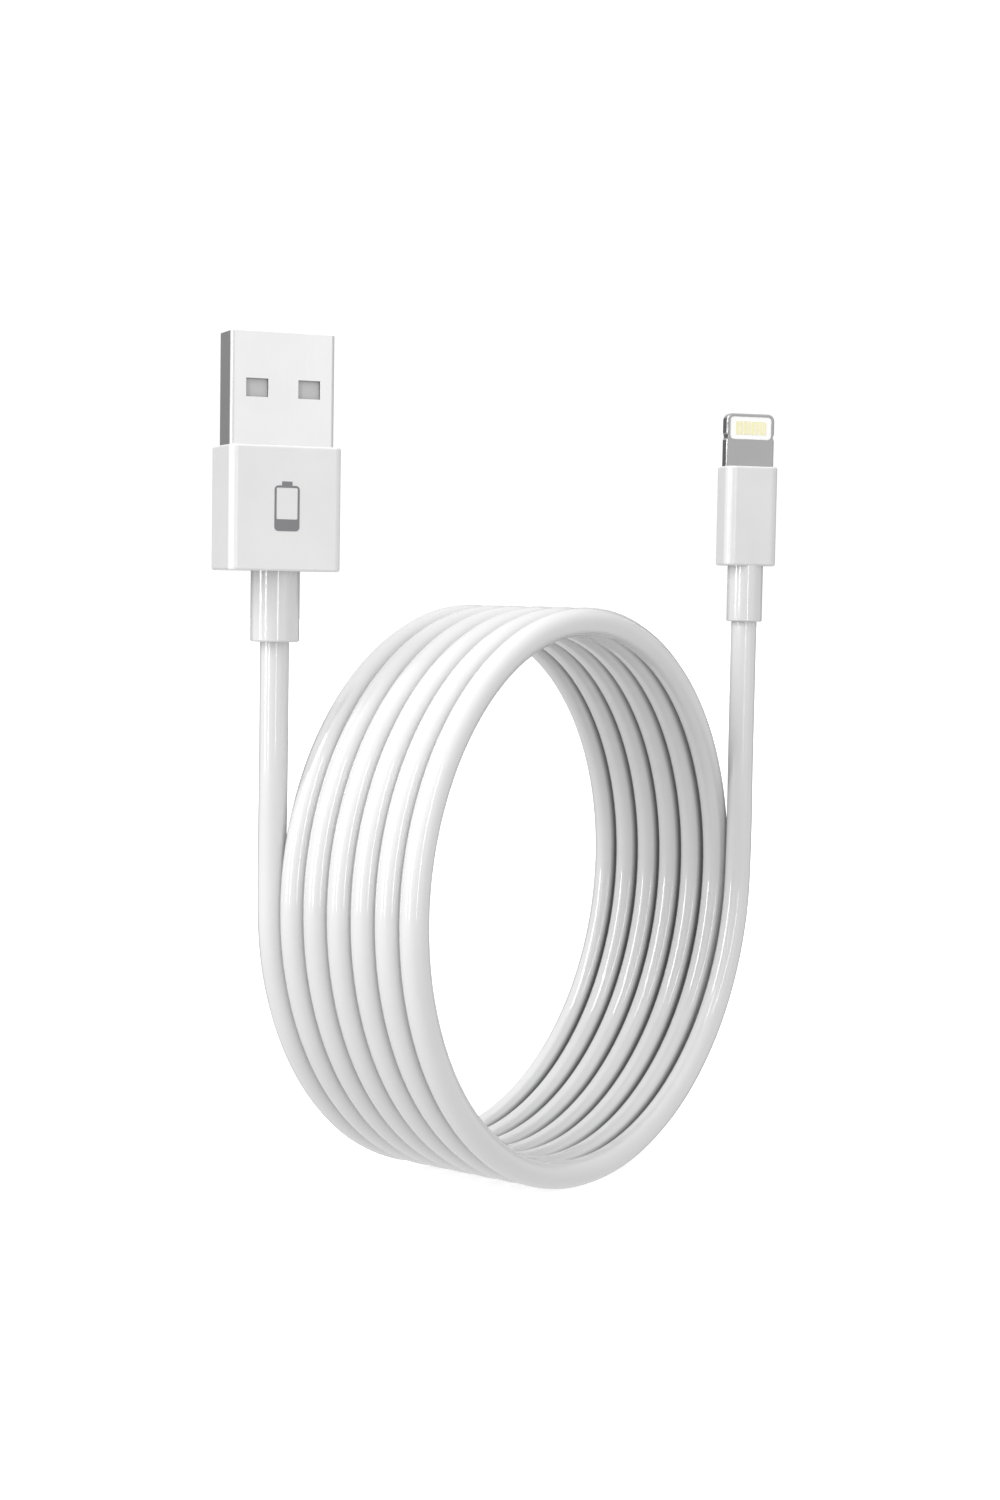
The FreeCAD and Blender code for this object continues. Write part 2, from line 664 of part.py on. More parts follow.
def main():
    """Build both plugs and the cord."""
    make_sheet()
    half = COIL_TURNS / 2 * DIMS["coil_pitch"]
    usb_axis = FreeCAD.Vector(-DIMS["coil_radius"], half, 0)
    tab_axis = FreeCAD.Vector(DIMS["coil_radius"], -half, 0)
    usb = placed(usb_axis, "usb_turn")
    tab = placed(tab_axis, "tab_turn")

    make_coil()
    usb_floor = "dims.usb_housing_bottom + dims.usb_floor"
    tab_floor = "dims.tab_housing_bottom + dims.tab_floor"
    make_tail("usb_tail", "(" + usb_floor + " + dims.usb_crimp_length)", usb_axis)
    make_tail("tab_tail", "(" + tab_floor + ")", tab_axis)

    core = ("dims.usb_core_width", "dims.usb_core_depth", "dims.usb_core_length")
    seat = "dims.usb_housing_top - (" + usb_floor + ") - dims.usb_core_length"
    mouth = ("dims.usb_shell_width", "dims.usb_shell_depth", seat)
    make_housing("usb_housing", "usb", mouth, core, usb)
    make_relief("usb_strain_relief", "usb", usb)
    channel = ("dims.usb_channel_width", "dims.usb_channel_depth")
    make_frame_block("usb_inner_mold", core[:2], channel, usb_floor, core[2], usb)
    make_charge_mark(usb)
    make_usb_shell(usb)
    make_usb_insulator(usb)
    make_usb_contacts(usb)
    make_crimp(usb)
    make_wires(
        "usb", ("red", "white", "green", "black"), "dims.wire_diameter",
        usb_floor + " + dims.usb_crimp_length",
        "dims.usb_core_length - dims.usb_crimp_length", usb,
    )

    length = "dims.tab_housing_top - dims.tab_seat - (" + tab_floor + ")"
    core = ("dims.tab_core_width", "dims.tab_core_depth", length)
    mouth = ("dims.tab_width", "dims.tab_depth", "dims.tab_seat")
    make_housing("tab_housing", "tab", mouth, core, tab)
    make_relief("tab_strain_relief", "tab", tab)
    make_tab_electronics(tab)
    make_wires(
        "tab", ("red", "white", "green", "black"), "dims.tab_wire_diameter",
        tab_floor, "dims.board_lift", tab,
    )
    make_tab_frame(tab)
    make_tab_insert(tab)
    export_all()


main()
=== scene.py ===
"""Looks of a white charging cable that stands on its coil.

A wide host plug rises from one end of the coil and a thin tab plug from the other.
Lengths are in metres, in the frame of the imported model: Z is up, the coil's axis is Y.
"""

import json
import logging
import math
from dataclasses import dataclass
from enum import Enum
from typing import Callable, Iterable, Sequence

import bmesh
import bpy
from mathutils import Matrix, Vector

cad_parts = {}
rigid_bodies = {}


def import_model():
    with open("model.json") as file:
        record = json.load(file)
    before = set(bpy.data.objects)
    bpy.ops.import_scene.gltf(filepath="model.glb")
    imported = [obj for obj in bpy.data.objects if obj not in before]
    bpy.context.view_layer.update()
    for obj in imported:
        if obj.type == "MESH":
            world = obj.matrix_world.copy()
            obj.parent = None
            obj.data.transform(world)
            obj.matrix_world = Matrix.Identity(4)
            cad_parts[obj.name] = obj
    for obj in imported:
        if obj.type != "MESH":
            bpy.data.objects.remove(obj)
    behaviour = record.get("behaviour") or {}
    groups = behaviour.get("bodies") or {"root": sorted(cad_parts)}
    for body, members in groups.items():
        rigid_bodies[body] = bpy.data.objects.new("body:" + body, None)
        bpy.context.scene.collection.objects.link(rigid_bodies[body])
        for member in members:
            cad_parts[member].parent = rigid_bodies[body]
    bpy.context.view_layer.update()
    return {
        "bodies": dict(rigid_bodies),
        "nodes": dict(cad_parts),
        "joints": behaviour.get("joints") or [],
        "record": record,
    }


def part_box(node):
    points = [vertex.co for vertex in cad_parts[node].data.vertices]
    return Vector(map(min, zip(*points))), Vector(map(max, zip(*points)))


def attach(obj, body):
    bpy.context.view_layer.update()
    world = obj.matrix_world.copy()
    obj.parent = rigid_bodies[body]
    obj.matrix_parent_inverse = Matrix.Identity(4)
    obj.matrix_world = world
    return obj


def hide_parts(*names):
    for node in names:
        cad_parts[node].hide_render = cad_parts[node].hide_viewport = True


LOG = logging.getLogger("cable")
MM = 0.001
MICRON = 1e-6
NEAR = 1.0 * MICRON  # how close two heights are that count as one
TOUCHING = 0.1 * MICRON  # how close two corners are that are merged
BODY = "root"
WHITE = (1.0, 1.0, 1.0, 1.0)
Colour = tuple[float, float, float]
Socket = bpy.types.NodeSocket


# ---------------------------------------------------------------- node graphs


class Tree:
    """A node tree, with short calls to add nodes and join them."""

    def __init__(self, tree: bpy.types.NodeTree) -> None:
        """Take over a tree and empty it.

        Args:
            tree: The node tree of a material or a world.
        """
        self.nodes = tree.nodes
        self.links = tree.links
        self.nodes.clear()

    def add(self, kind: str, inputs: dict, **settings: object) -> bpy.types.Node:
        """Add a node.

        Args:
            kind: The node's type, without its ShaderNode prefix.
            inputs: What each input gets, by name or number: a socket or a value.
            settings: The node's own properties.

        Returns:
            The node.
        """
        node = self.nodes.new(f"ShaderNode{kind}")
        for name, value in settings.items():
            setattr(node, name, value)
        for name, value in inputs.items():
            if isinstance(value, Socket):
                self.links.new(value, node.inputs[name])
            else:
                node.inputs[name].default_value = value
        return node

    def calculate(self, operation: str, *inputs: Socket | float) -> Socket:
        """Return one number worked out from others by a maths node."""
        return self.add("Math", dict(enumerate(inputs)), operation=operation).outputs[0]


class Graph(Tree):
    """A material's node tree round one shader."""

    def __init__(self, name: str) -> None:
        """Start a material.

        Args:
            name: The material's name.
        """
        self.material = bpy.data.materials.new(name)
        self.material.use_nodes = True
        super().__init__(self.material.node_tree)
        self.shader = self.add("BsdfPrincipled", {})
        self.add("OutputMaterial", {"Surface": self.shader.outputs[0]})
        coordinates = self.add("TexCoord", {})
        self.place = coordinates.outputs["Object"]
        self.facing = coordinates.outputs["Normal"]

    def constant(self, **values: object) -> None:
        """Set the shader's own sockets, by name with underscores for spaces."""
        for name, value in values.items():
            self.shader.inputs[name.replace("_", " ")].default_value = value

    def stretched(self, stretch: Sequence[float], turn: float = 0.0) -> Socket:
        """Scale the Object coordinates along each axis after a turn about Z.

        Args:
            stretch: The scale along X, Y and Z.
            turn: The turn about Z, in radians, that lines X up with the piece.

        Returns:
            The mapped coordinates.
        """
        turned = self.add(
            "Mapping", {"Vector": self.place, "Rotation": (0.0, 0.0, turn)},
            vector_type="TEXTURE",
        )
        scaled = {0: turned.outputs[0], 1: tuple(stretch)}
        return self.add("VectorMath", scaled, operation="MULTIPLY").outputs[0]

    def noise(self, scale: float, detail: float = 2.0, where: Socket | None = None) -> Socket:
        """Spread noise over the piece.

        Args:
            scale: Features per metre.
            detail: Octaves of finer noise.
            where: The coordinates, or None for plain Object coordinates.

        Returns:
            The noise's factor, about 0.3 to 0.7.
        """
        inputs = {"Vector": where or self.place, "Scale": scale, "Detail": detail}
        return self.add("TexNoise", inputs).outputs["Fac"]

    def ranged(
        self, value: Socket, low: float, high: float, start: float = 0.35, end: float = 0.65
    ) -> Socket:
        """Spread a value over a new range, and hold it to that range.

        Args:
            value: The value.
            low: The result where the value is start.
            high: The result where the value is end.
            start: Where the value's own range begins.
            end: Where the value's own range ends.

        Returns:
            The result.
        """
        inputs = {
            "Value": value, "From Min": start, "From Max": end, "To Min": low, "To Max": high,
        }
        return self.add("MapRange", inputs).outputs["Result"]

    def blended(self, factor: Socket, first: Colour | Socket, second: Colour) -> Socket:
        """Blend two colours.

        Args:
            factor: How much of the second colour shows, from 0 to 1.
            first: The first colour, plain or from nodes.
            second: The second colour.

        Returns:
            The blend.
        """
        start = first if isinstance(first, Socket) else (*first, 1.0)
        inputs = {0: factor, 6: start, 7: (*second, 1.0)}
        return self.add("Mix", inputs, data_type="RGBA").outputs[2]

    def mottled(self, scale: float, colour: Colour, dim: float = 0.965) -> Socket:
        """Vary a colour a little over the piece.

        Args:
            scale: Clouds per metre.
            colour: The colour at its brightest.
            dim: How bright the darkest parts are beside it.

        Returns:
            The varied colour.
        """
        shade = tuple(channel * dim for channel in colour)
        return self.blended(self.ranged(self.noise(scale, 3.0), 0.0, 1.0), shade, colour)

    def part(self, vector: Socket, axis: str) -> Socket:
        """Return a vector's part along X, Y or Z."""
        return self.add("SeparateXYZ", {0: vector}).outputs[axis]

    def sideways(self, vector: Socket) -> Socket:
        """Return the size of a vector's Y part."""
        return self.calculate("ABSOLUTE", self.part(vector, "Y"))

    def outwards(self, centre: float) -> Socket:
        """Find how far the surface faces away from a Y axis.

        Args:
            centre: The axis's height.

        Returns:
            The distance from the axis times how squarely the surface faces away from it.
        """
        inputs = {0: self.place, 1: (1.0, 0.0, 1.0), 2: (0.0, 0.0, -centre)}
        flat = self.add("VectorMath", inputs, operation="MULTIPLY_ADD").outputs[0]
        along = self.add("VectorMath", {0: flat, 1: self.facing}, operation="DOT_PRODUCT")
        return along.outputs["Value"]

    def colour(self, value: Socket) -> None:
        """Join a colour to the shader."""
        self.links.new(value, self.shader.inputs["Base Color"])

    def roughness(self, value: Socket) -> None:
        """Join a roughness to the shader."""
        self.links.new(value, self.shader.inputs["Roughness"])

    def bump(self, height: Socket, depth: float) -> None:
        """Raise the surface, on top of any bump that it has.

        Args:
            height: The pattern, from 0 to 1.
            depth: How high 1 stands, in metres.
        """
        inputs = {"Height": height, "Distance": depth}
        before = self.shader.inputs["Normal"].links
        if before:
            inputs["Normal"] = before[0].from_socket
        raised = self.add("Bump", inputs)
        self.links.new(raised.outputs["Normal"], self.shader.inputs["Normal"])


# ------------------------------------------------------------------- finishes


@dataclass(frozen=True)
class Plastic:
    """Injection-moulded plastic: an even colour, a fine skin and a soft or hard gloss."""

    name: str
    colour: Colour
    roughness: float = 0.3
    coat: float = 0.0
    skin: float = 0.4 * MICRON
    grain: float = 5200.0
    ripple: float = 420.0
    cloud: float = 140.0
    glow: float = 0.0
    glow_depth: float = 0.8 * MM

    def build(self) -> bpy.types.Material:
        """Build the finish.

        Returns:
            The material.
        """
        graph = Graph(self.name)
        graph.colour(graph.mottled(self.cloud, self.colour))
        fine = graph.noise(self.grain, 4.0)
        graph.roughness(graph.ranged(fine, self.roughness * 0.85, self.roughness * 1.2))
        graph.bump(fine, self.skin)
        graph.bump(graph.noise(self.ripple, 2.0), self.skin * 4.0)
        graph.constant(IOR=1.5, Coat_Weight=self.coat, Coat_IOR=1.6, Coat_Roughness=0.05)
        if self.glow:
            graph.constant(
                Subsurface_Weight=self.glow,
                Subsurface_Radius=(1.0, 0.95, 0.9),
                Subsurface_Scale=self.glow_depth,
            )
        return graph.material


@dataclass(frozen=True)
class Jacket:
    """The cord's soft jacket: glossy white elastomer, with painted shade in the coil's
    grooves.
    """

    name: str
    colour: Colour
    roughness: float = 0.2
    coat: float = 1.0
    skin: float = 0.5 * MICRON
    grain: float = 3800.0
    ripple: float = 350.0
    ripple_depth: float = 4.0 * MICRON
    cloud: float = 60.0
    # painted shade: the dark colour that the jacket turns towards between the coil's turns
    painted_shade_colour: Colour = (0.04, 0.04, 0.04)
    coil_side: float = 9.6 * MM
    coil_middle: float = 34.7 * MM
    fade: float = 0.8 * MM
    # painted shade laid faintly over the inner strands themselves as well
    least: float = 0.05
    steep: float = 0.74
    outer_share: float = 0.12
    inner_reach: tuple[float, float] = (-12.0 * MM, 4.0 * MM)
    upper_share: float = 0.5
    upper_reach: tuple[float, float] = (25.0 * MM, 60.0 * MM)

    def painted_groove_shade(self, graph: Graph) -> Socket:
        """Find how deep the painted shade between strands is: most low down inside the ring.

        Args:
            graph: The material's nodes.

        Returns:
            The depth, from 0 to 1.
        """
        flank = graph.ranged(graph.sideways(graph.facing), self.least, 1.0, self.steep, 1.0)
        edge = self.coil_side - self.fade
        between = graph.ranged(graph.sideways(graph.place), 1.0, 0.0, edge, self.coil_side)
        outwards = graph.outwards(self.coil_middle)
        inner = graph.ranged(outwards, 1.0, self.outer_share, *self.inner_reach)
        height = graph.part(graph.place, "Z")
        lower = graph.ranged(height, 1.0, self.upper_share, *self.upper_reach)
        amount = graph.calculate("MULTIPLY", flank, between)
        return graph.calculate("MULTIPLY", amount, graph.calculate("MULTIPLY", inner, lower))

    def build(self) -> bpy.types.Material:
        """Build the finish.

        Returns:
            The material.
        """
        graph = Graph(self.name)
        unshaded = graph.mottled(self.cloud, self.colour)
        # painted shade between the turns, darkest low down inside the ring
        graph.colour(graph.blended(self.painted_groove_shade(graph), unshaded, self.painted_shade_colour))
        fine = graph.noise(self.grain, 3.0)
        graph.roughness(graph.ranged(fine, self.roughness * 0.85, self.roughness * 1.25))
        graph.bump(fine, self.skin)
        graph.bump(graph.noise(self.ripple, 2.0), self.ripple_depth)
        graph.constant(IOR=1.5, Coat_Weight=self.coat, Coat_IOR=1.6, Coat_Roughness=0.05)
        return graph.material


@dataclass(frozen=True)
class Steel:
    """Sheet or milled metal with fine marks along one direction of the piece."""

    name: str
    colour: Colour
    roughness: float = 0.3
    stretch: tuple[float, float, float] = (1.0, 1.0, 24.0)
    turn: float = 0.0
    marks: float = 900.0
    depth: float = 0.5 * MICRON
    smudge: float = 180.0

    def build(self) -> bpy.types.Material:
        """Build the finish.

        Returns:
            The material.
        """
        graph = Graph(self.name)
        brushed = graph.noise(self.marks, 4.0, graph.stretched(self.stretch, self.turn))
        graph.colour(graph.mottled(self.smudge, self.colour, 0.97))
        graph.roughness(graph.ranged(brushed, self.roughness * 0.94, self.roughness * 1.06))
        graph.bump(brushed, self.depth)
        graph.constant(Metallic=1.0, Anisotropic=0.35)
        return graph.material


@dataclass(frozen=True)
class Laminate:
    """A circuit board: green mask with paler copper runs showing through."""

    name: str
    colour: Colour
    trace: Colour
    spacing: float = 420.0
    trace_depth: float = 15.0 * MICRON

    def build(self) -> bpy.types.Material:
        """Build the finish.

        Returns:
            The material.
        """
        graph = Graph(self.name)
        wave = graph.add(
            "TexWave", {"Vector": graph.place, "Scale": self.spacing, "Distortion": 3.0}
        )
        runs = graph.ranged(wave.outputs["Fac"], 0.0, 1.0, 0.55, 0.62)
        graph.colour(graph.blended(runs, self.colour, self.trace))
        graph.roughness(graph.ranged(graph.noise(2500.0), 0.3, 0.45))
        graph.bump(runs, self.trace_depth)
        return graph.material


class Palette:
    """Every finish of the cable, built once."""

    def __init__(self, usb_turn: float, tab_turn: float) -> None:
        """Build the finishes.

        Args:
            usb_turn: The host plug's turn about Z, in radians.
            tab_turn: The tab plug's turn about Z, in radians.
        """
        self.jacket = Jacket("jacket_white", (0.66, 0.66, 0.66)).build()
        self.housing = Plastic(
            "housing_gloss", (0.74, 0.74, 0.74), 0.22, coat=0.6, glow=0.06
        ).build()
        # painted shade: a darker copy of the housing plastic, for the tab plug's housing
        self.shaded_housing = Plastic(
            "housing_gloss_painted_shade", (0.67, 0.67, 0.67), 0.22, coat=0.6, glow=0.06
        ).build()
        self.relief = Plastic(
            "relief_satin", (0.63, 0.63, 0.63), 0.18, coat=1.0, glow=0.05
        ).build()
        self.shell = Steel(
            "shell_plate", (0.86, 0.86, 0.86), 0.24, (1.0, 1.0, 0.05), usb_turn, 2400.0,
            0.01 * MICRON,
        ).build()
        self.tab = Steel(
            "tab_plate", (0.42, 0.42, 0.425), 0.22, (1.0, 1.0, 0.08), tab_turn, 3000.0,
            0.01 * MICRON,
        ).build()
        # punched edges: duller cut steel, darkened further as painted shade in the window
        # frames
        self.punched_and_shaded = Steel("shell_punched_edge_painted_shade", (0.22, 0.22, 0.225), 0.5).build()
        # bends: duller steel, darkened further as painted shade that dims their highlight
        self.bend = Steel("shell_bend_painted_shade", (0.7, 0.7, 0.7), 0.5, depth=0.02 * MICRON).build()
        self.gold = Steel(
            "contact_gold", (0.95, 0.9, 0.56), 0.3, (1.0, 1.0, 0.2), depth=0.1 * MICRON
        ).build()
        self.insert = Plastic("insert_white", (0.95, 0.95, 0.94), 0.45, glow=0.1).build()
        self.tongue = Plastic("tongue_grey", (0.5, 0.5, 0.5), 0.5).build()
        self.mold = Plastic("mold_ivory", (0.75, 0.73, 0.66), 0.5).build()
        self.ink = Plastic("mark_ink", (0.2, 0.2, 0.21), 0.5, grain=9000.0).build()
        self.can = Steel("can_tin", (0.72, 0.72, 0.71), 0.4).build()
        self.board = Laminate("board_mask", (0.03, 0.22, 0.1), (0.1, 0.38, 0.16)).build()
        self.chip = Plastic("chip_epoxy", (0.025, 0.025, 0.028), 0.55).build()
        self.ceramic = Plastic("capacitor_ceramic", (0.5, 0.38, 0.25), 0.4).build()
        self.wires = {
            "red": Plastic("wire_red", (0.6, 0.03, 0.03), 0.35).build(),
            "white": Plastic("wire_white", (0.82, 0.82, 0.82), 0.35).build(),
            "green": Plastic("wire_green", (0.03, 0.32, 0.08), 0.35).build(),
            "black": Plastic("wire_black", (0.02, 0.02, 0.02), 0.35).build(),
        }


# --------------------------------------------------------------- mesh helpers


class ShellFinish(Enum):
    """The host shell's finishes, by their place in its list of materials."""

    PLATE = 0
    PUNCHED_AND_SHADED = 1
    BEND_AND_SHADE = 2


class Axis(Enum):
    """A direction in a plug's own frame: across it, through it or along it."""

    ACROSS = Vector((1.0, 0.0, 0.0))
    THROUGH = Vector((0.0, 1.0, 0.0))
    ALONG = Vector((0.0, 0.0, 1.0))


@dataclass(frozen=True)
class Block:
    """A box in a plug's own frame, centred on the plug's axis unless shifted."""

    width: float
    depth: float
    low: float
    high: float
    across: float = 0.0
    through: float = 0.0

    def mesh(self) -> bmesh.types.BMesh:
        """Make the box.

        Returns:
            A new bmesh.
        """
        block = bmesh.new()
        bmesh.ops.create_cube(block, size=1.0)
        size = Vector((self.width, self.depth, self.high - self.low))
        bmesh.ops.scale(block, vec=size, verts=block.verts)
        centre = Vector((self.across, self.through, (self.low + self.high) / 2))
        bmesh.ops.translate(block, vec=centre, verts=block.verts)
        return block


def round_edges(
    mesh: bmesh.types.BMesh,
    radius: float,
    segments: int,
    chosen: Callable[[bmesh.types.BMEdge], bool],
) -> None:
    """Round some of a shape's edges.

    Args:
        mesh: The shape.
        radius: How far the rounding reaches from each edge.
        segments: How many faces it has across.
        chosen: Says whether an edge is rounded.
    """
    edges = [edge for edge in mesh.edges if chosen(edge)]
    bmesh.ops.bevel(
        mesh, geom=edges, offset=radius, offset_type="OFFSET", segments=segments,
        profile=0.5, affect="EDGES", clamp_overlap=True, material=-1,
    )


def runs_along(edge: bmesh.types.BMEdge, axis: Axis) -> bool:
    """Find whether an edge runs along an axis.

    Args:
        edge: The edge.
        axis: The direction, in the plug's own frame.

    Returns:
        True if it does.
    """
    run = (edge.verts[1].co - edge.verts[0].co).normalized()
    return abs(run.dot(axis.value)) > 0.999


def lies_at(edge: bmesh.types.BMEdge, height: float) -> bool:
    """Find whether both ends of an edge are at a height.

    Args:
        edge: The edge.
        height: The height along the plug.

    Returns:
        True if they are.
    """
    return all(abs(vert.co.z - height) < NEAR for vert in edge.verts)


def is_sharp(edge: bmesh.types.BMEdge, degrees: float = 40.0) -> bool:
    """Find whether an edge's two faces meet at more than an angle.

    Args:
        edge: The edge.
        degrees: The angle.

    Returns:
        True if they do.
    """
    return len(edge.link_faces) == 2 and edge.calc_face_angle(0.0) > math.radians(degrees)


def finish_shading(mesh: bmesh.types.BMesh, degrees: float = 35.0) -> None:
    """Shade a shape smooth, with its sharp edges kept.

    Args:
        mesh: The shape.
        degrees: The angle past which two faces meet in a sharp edge.
    """
    bmesh.ops.remove_doubles(mesh, verts=mesh.verts, dist=TOUCHING)
    for face in mesh.faces:
        face.smooth = True
    for edge in mesh.edges:
        edge.smooth = not is_sharp(edge, degrees)


def carve(piece: bmesh.types.BMesh, cutters: Iterable[bmesh.types.BMesh]) -> bmesh.types.BMesh:
    """Cut closed shapes out of a closed shape.

    Args:
        piece: The shape to cut, used up.
        cutters: The shapes to take away, used up.

    Returns:
        The cut shape, as a new bmesh.
    """
    block = object_of("carved", piece)
    tools = [object_of(f"cutter_{index}", cutter) for index, cutter in enumerate(cutters)]
    for tool in tools:
        step = block.modifiers.new("carve", "BOOLEAN")
        step.operation = "DIFFERENCE"
        step.solver = "EXACT"
        step.object = tool
    bpy.context.view_layer.update()
    graph = bpy.context.evaluated_depsgraph_get()
    cut = bmesh.new()
    cut.from_object(block, graph)
    for spare in [block, *tools]:
        data = spare.data
        bpy.data.objects.remove(spare)
        bpy.data.meshes.remove(data)
    bmesh.ops.remove_doubles(cut, verts=cut.verts, dist=TOUCHING)
    bmesh.ops.dissolve_limit(
        cut, angle_limit=math.radians(0.5), verts=cut.verts, edges=cut.edges
    )
    return cut


def object_of(name: str, mesh: bmesh.types.BMesh) -> bpy.types.Object:
    """Turn a bmesh into an object in the scene.

    Args:
        name: The object's name.
        mesh: Its shape, used up.

    Returns:
        The object.
    """
    data = bpy.data.meshes.new(name)
    mesh.to_mesh(data)
    mesh.free()
    item = bpy.data.objects.new(name, data)
    bpy.context.scene.collection.objects.link(item)
    return item


def rod(radius: float, length: float) -> bmesh.types.BMesh:
    """Make a rod along Z round the origin, for cutting.

    Args:
        radius: Its radius.
        length: Its length.

    Returns:
        The rod as a bmesh.
    """
    mesh = bmesh.new()
    bmesh.ops.create_cone(
        mesh, cap_ends=True, segments=48, radius1=radius, radius2=radius, depth=length
    )
    return mesh


def lathe(profile: Sequence[tuple[float, float]], steps: int) -> bmesh.types.BMesh:
    """Spin a closed outline of (radius, height) points about Z.

    Args:
        profile: The outline, in order, not repeated at its end.
        steps: How many steps the full turn takes.

    Returns:
        The closed ring as a bmesh, with its faces turned outwards.
    """
    ring = bmesh.new()
    points = [ring.verts.new((radius, 0.0, height)) for radius, height in profile]
    edges = [
        ring.edges.new((first, second))
        for first, second in zip(points, points[1:] + points[:1])
    ]
    bmesh.ops.spin(
        ring, geom=points + edges, cent=(0.0, 0.0, 0.0), axis=(0.0, 0.0, 1.0),
        angle=2 * math.pi, steps=steps, use_merge=True,
    )
    bmesh.ops.remove_doubles(ring, verts=ring.verts, dist=TOUCHING / 10)
    bmesh.ops.recalc_face_normals(ring, faces=ring.faces)
    return ring


def rounded(
    centre: tuple[float, float], radius: float, start: float, end: float, steps: int = 5
) -> list[tuple[float, float]]:
    """Work out the points of an arc in a lathe's outline.

    Args:
        centre: The arc's (radius, height) centre.
        radius: The arc's own radius.
        start: Its first angle, in degrees.
        end: Its last angle, in degrees.
        steps: How many steps it takes.

    Returns:
        The (radius, height) points.
    """
    angles = [math.radians(start + (end - start) * step / steps) for step in range(steps + 1)]
    return [
        (centre[0] + radius * math.cos(angle), centre[1] + radius * math.sin(angle))
        for angle in angles
    ]


@dataclass(frozen=True)
class Stand:
    """Where a plug stands in the model's frame: its axis and its turn about Z."""

    x: float
    y: float
    turn: float

    def matrix(self) -> Matrix:
        """Return the transform from the plug's own frame."""
        return Matrix.Translation((self.x, self.y, 0.0)) @ Matrix.Rotation(self.turn, 4, "Z")

    def publish(
        self, name: str, mesh: bmesh.types.BMesh, slot: str,
        finish: bpy.types.Material, stands_for: Sequence[str] = (),
    ) -> bpy.types.Object:
        """Place a finished mesh in the model.

        Args:
            name: The piece's name.
            mesh: Its shape in the plug's own frame, used up.
            slot: The record's material slot; not used.
            finish: Its material.
            stands_for: The CAD nodes that it replaces.

        Returns:
            The piece, riding on the cable's body.
        """
        bmesh.ops.transform(mesh, matrix=self.matrix(), verts=mesh.verts)
        finish_shading(mesh)
        piece = object_of(name, mesh)
        piece.data.materials.append(finish)
        even = piece.modifiers.new("even_normals", "WEIGHTED_NORMAL")
        even.keep_sharp = True
        settle(piece, stands_for)
        return piece


def settle(piece: bpy.types.Object, stands_for: Sequence[str]) -> None:
    """Make a piece ride on the cable.

    Args:
        piece: The piece.
        stands_for: The CAD nodes that it replaces.
    """
    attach(piece, BODY)
    if stands_for:
        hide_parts(*stands_for)
    LOG.info("%s: %s", piece.name, ", ".join(stands_for) or "new")


def middle(node: str) -> Vector:
    """Find the centre of a CAD node's box.

    Args:
        node: The node's name.

    Returns:
        The centre.
    """
    low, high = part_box(node)
    return (low + high) / 2


def heights(node: str) -> tuple[float, float]:
    """Find how low and how high a CAD node reaches.

    Args:
        node: The node's name.

    Returns:
        The two heights.
    """
    low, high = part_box(node)
    return low.z, high.z


def dress(frame: dict, finish: bpy.types.Material, *names: str) -> None:
    """Give CAD nodes that stay visible their finish.

    Args:
        finish: The material.
        names: The nodes' names.
    """
    for name in names:
        node = frame["nodes"][name]
        node.data.materials.clear()
        node.data.materials.append(finish)
        LOG.info("%s: %s", name, finish.name)


# ----------------------------------------------------------------------- cord


